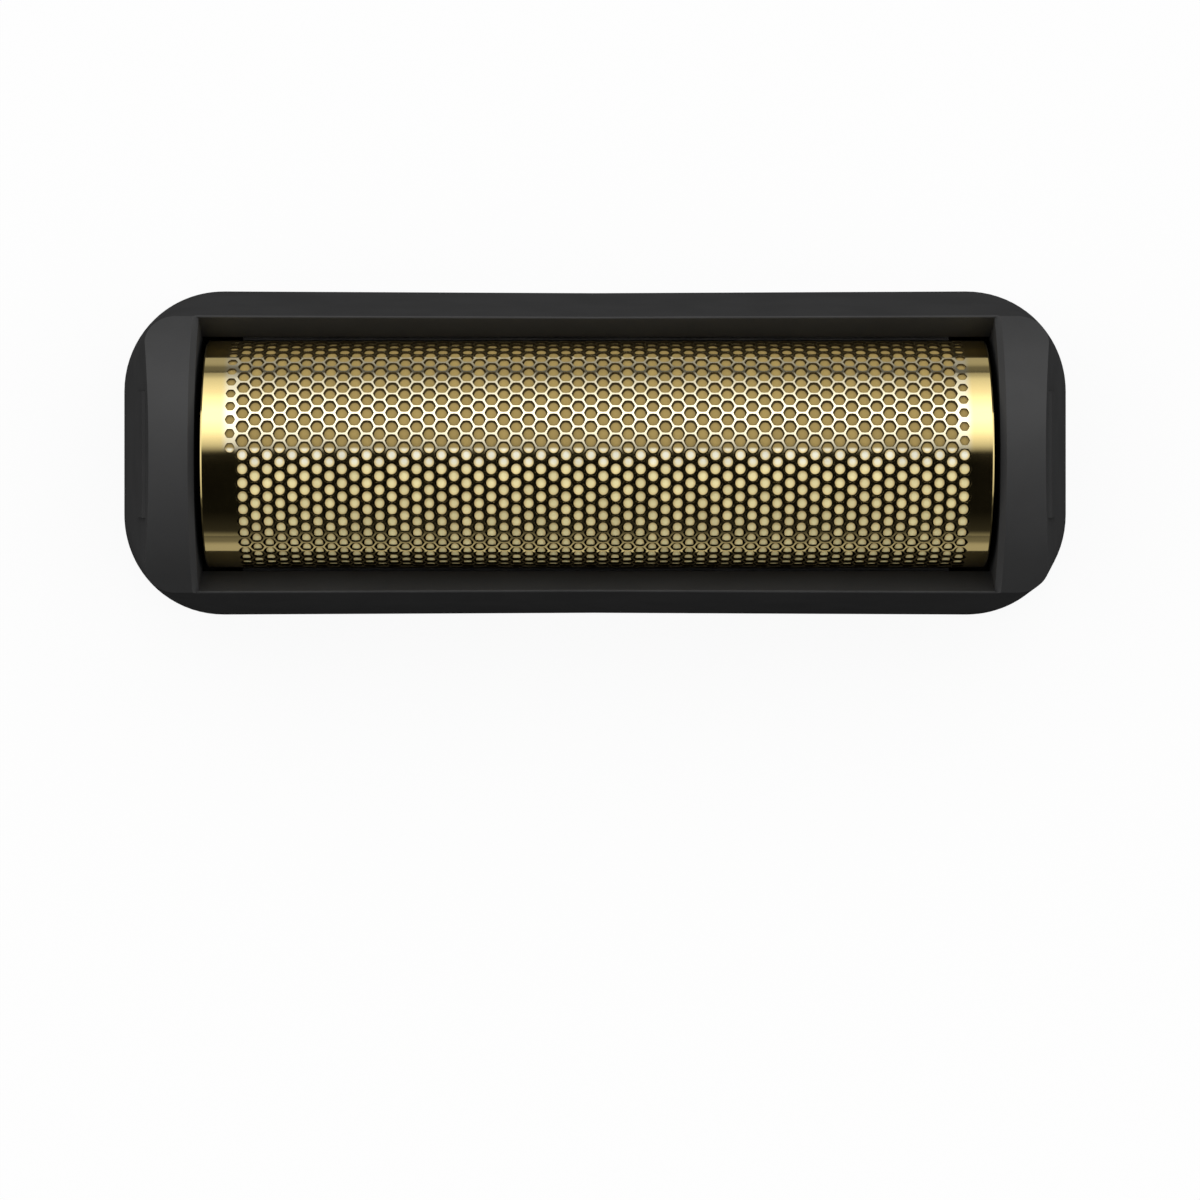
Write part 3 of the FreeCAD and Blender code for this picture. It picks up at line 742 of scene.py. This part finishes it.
def white_floor(studio):
    """Large pale floor just under the head, white to the camera where nothing shades it.

    It is dimmer far from the head, much dimmer where the foil mirrors it, and dark right under the head as painted
    shadow.
    """
    material = bpy.data.materials.new("studio_floor")
    material.use_nodes = True
    tree = material.node_tree
    tree.nodes.clear()
    start = Socket(tree)
    rays = start.node("ShaderNodeLightPath", {}, {}, "Is Camera Ray").socket.node
    seen = Socket(tree, rays.outputs["Is Camera Ray"])
    mirrored = Socket(tree, rays.outputs["Is Glossy Ray"])
    through = Socket(tree, rays.outputs["Is Transmission Ray"])
    shown = start.math("MAXIMUM", start.math("MAXIMUM", seen, mirrored), through)
    along, rearwards = object_place(start).parts()[:2]
    away = start.math("SQRT", along * along + rearwards * rearwards)
    beyond = 1.0 - (1.0 - studio.far_floor) * away.between(*FLOOR_FADE)
    far_share = 1.0 - MIRROR_NEAR_SHARE
    dimming = MIRROR_NEAR_SHARE * away.between(*MIRROR_NEAR) + far_share * away.between(*MIRROR_FAR)
    mirror = 1.0 - (1.0 - studio.far_mirror) * mirrored * dimming
    # Under the head the floor's glow is taken away, a painted shadow.
    beside = along.size().between(*SHADOW_PATCH_ALONG)
    under = (1.0 - beside) * (1.0 - rearwards.size().between(*SHADOW_PATCH_ACROSS))
    strength = beyond * mirror * (1.0 - under)
    white = seen.blend(opaque(FLOOR_PAINT), opaque(FLOOR_PAINT_SEEN))
    paint = start.node("ShaderNodeBsdfDiffuse", {}, {"Color": white})
    glow = start.node("ShaderNodeEmission", {}, {"Color": opaque(WHITE), "Strength": strength})
    mixed = start.node("ShaderNodeMixShader", {}, {0: shown * studio.floor_white, 1: paint, 2: glow})
    end = tree.nodes.new("ShaderNodeOutputMaterial")
    tree.links.new(mixed.socket, end.inputs["Surface"])
    half = studio.floor_half
    corners = [(x, y, -FLOOR_DEPTH) for x, y in ((-half, -half), (half, -half), (half, half), (-half, half))]
    mesh = bpy.data.meshes.new("studio_floor")
    mesh.from_pydata(corners, [], [(0, 1, 2, 3)])
    mesh.materials.append(material)
    floor = bpy.data.objects.new("studio_floor", mesh)
    bpy.context.scene.collection.objects.link(floor)


def studio_light(studio):
    """World that shades by direction: a soft strip of light over the head and behind it, and pale sides and ceiling.

    The angle is measured from straight up towards the rear, as the arctangent of rearwards over upwards.
    """
    world = bpy.data.worlds.new("studio")
    bpy.context.scene.world = world
    world.use_nodes = True
    tree = world.node_tree
    tree.nodes.clear()
    start = Socket(tree)
    aim = start.node("ShaderNodeTexCoord", {}, {}, "Generated")
    sideways, rearwards, upwards = aim.parts()
    angle = start.math("ARCTAN2", rearwards, upwards) * (180 / math.pi)
    stops = []
    for degrees, brightness in STRIP_LEVELS:
        share = brightness / STRIP_BRIGHTEST
        stops.append(((degrees + 180) / 360, opaque((share, share, share))))
    profile = start.node("ShaderNodeValToRGB", {"stops": stops}, {"Fac": (angle + 180.0) / 360.0})
    strip = 1.0 - sideways.size().between(*STRIP_EDGES)
    level = profile.node("ShaderNodeSeparateColor", {}, {"Color": profile}, 0)
    back = level * studio.back_light * strip
    walls = studio.fill_light + studio.fill_rear * rearwards + studio.fill_side * sideways.size()
    fill = walls + studio.fill_top * upwards
    total = back + (1.0 - strip) * start.math("MAXIMUM", fill, 0.0)
    glow = start.node("ShaderNodeBackground", {}, {"Strength": total})
    end = tree.nodes.new("ShaderNodeOutputWorld")
    tree.links.new(glow.socket, end.inputs["Surface"])


def camera(studio):
    """Camera that looks straight down, shifted so that the head's middle is where the picture has it."""
    data = bpy.data.cameras.new("camera")
    data.lens = studio.focal_length
    data.sensor_width = SENSOR_WIDTH
    data.clip_start = CLIP_NEAR
    data.clip_end = CLIP_FAR
    width = studio.camera_height * data.sensor_width / data.lens
    data.shift_x = 0.5 - studio.camera_x / width - studio.picture_x
    data.shift_y = 0.5 - studio.camera_y / width - studio.picture_y
    holder = bpy.data.objects.new("camera", data)
    holder.location = (studio.camera_x, studio.camera_y, studio.camera_height)
    bpy.context.scene.collection.objects.link(holder)
    bpy.context.scene.camera = holder


# Operators


class FOILHEAD_OT_outer_foil(bpy.types.Operator):
    """Build the perforated outer foil"""

    bl_idname = "foilhead.outer_foil"
    bl_label = "Outer foil"

    def execute(self, context):
        material = bright_gold(settings("foil_finishes"))
        piece = fine_foil_mesh(settings("foil_sizes"), material)
        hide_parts("foil")
        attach(piece, BODY)
        return {"FINISHED"}


class FOILHEAD_OT_inner_foil(bpy.types.Operator):
    """Build the slotted inner foil"""

    bl_idname = "foilhead.inner_foil"
    bl_label = "Inner foil"

    def execute(self, context):
        sizes = settings("foil_sizes")
        piece = fine_inner_foil_mesh(sizes, satin_gold(settings("foil_finishes"), sizes))
        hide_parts("inner_foil")
        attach(piece, BODY)
        return {"FINISHED"}


class FOILHEAD_OT_mouldings(bpy.types.Operator):
    """Finish the outer frame, the carrier and the end cheeks in black plastic"""

    bl_idname = "foilhead.mouldings"
    bl_label = "Mouldings"

    def execute(self, context):
        finishes = settings("foil_finishes")
        dress("outer_frame", plastic("black_moulding", finishes.moulding, finishes.grain_height, 0.45))
        carrier = plastic("black_carrier", finishes.carrier, finishes.grain_height, 0.4)
        for name in ("foil_carrier", "right_end_cheek", "left_end_cheek"):
            dress(name, carrier)
        return {"FINISHED"}


class FOILHEAD_OT_clamp_strips(bpy.types.Operator):
    """Finish the clamp strips in rolled steel"""

    bl_idname = "foilhead.clamp_strips"
    bl_label = "Clamp strips"

    def execute(self, context):
        steel = rolled_steel(settings("foil_finishes"))
        for name in ("rear_clamp_strip", "front_clamp_strip"):
            dress(name, steel)
        return {"FINISHED"}


class FOILHEAD_OT_studio(bpy.types.Operator):
    """Set up the floor, the light and the camera"""

    bl_idname = "foilhead.studio"
    bl_label = "Studio"

    def execute(self, context):
        studio = settings("foil_studio")
        white_floor(studio)
        studio_light(studio)
        camera(studio)
        context.scene.view_settings.view_transform = "Standard"
        return {"FINISHED"}


OPERATORS = (
    FOILHEAD_OT_outer_foil,
    FOILHEAD_OT_inner_foil,
    FOILHEAD_OT_mouldings,
    FOILHEAD_OT_clamp_strips,
    FOILHEAD_OT_studio,
)


class FOILHEAD_PT_panel(bpy.types.Panel):
    """Panel that lists the steps of the foil head"""

    bl_idname = "FOILHEAD_PT_panel"
    bl_label = "Foil head"
    bl_space_type = "VIEW_3D"
    bl_region_type = "UI"
    bl_category = "Foil head"

    def draw(self, context):
        for operator in OPERATORS:
            self.layout.operator(operator.bl_idname)
        for name in PROPERTIES:
            group = getattr(context.scene, name)
            for key in group.__annotations__:
                self.layout.prop(group, key)


PROPERTIES = {"foil_sizes": FoilSizes, "foil_finishes": Finishes, "foil_studio": Studio}
CLASSES = (*PROPERTIES.values(), *OPERATORS, FOILHEAD_PT_panel)


def register():
    """Register the classes and hang the property groups on the scene."""
    for each in CLASSES:
        bpy.utils.register_class(each)
    for name, group in PROPERTIES.items():
        setattr(bpy.types.Scene, name, bpy.props.PointerProperty(type=group))


def unregister():
    """Take the property groups off the scene and unregister the classes."""
    for name in PROPERTIES:
        delattr(bpy.types.Scene, name)
    for each in reversed(CLASSES):
        bpy.utils.unregister_class(each)


def main():
    """Build everything in order."""
    register()
    bpy.ops.foilhead.outer_foil()
    bpy.ops.foilhead.inner_foil()
    bpy.ops.foilhead.mouldings()
    bpy.ops.foilhead.clamp_strips()
    bpy.ops.foilhead.studio()


if __name__ == "__main__":
    main()
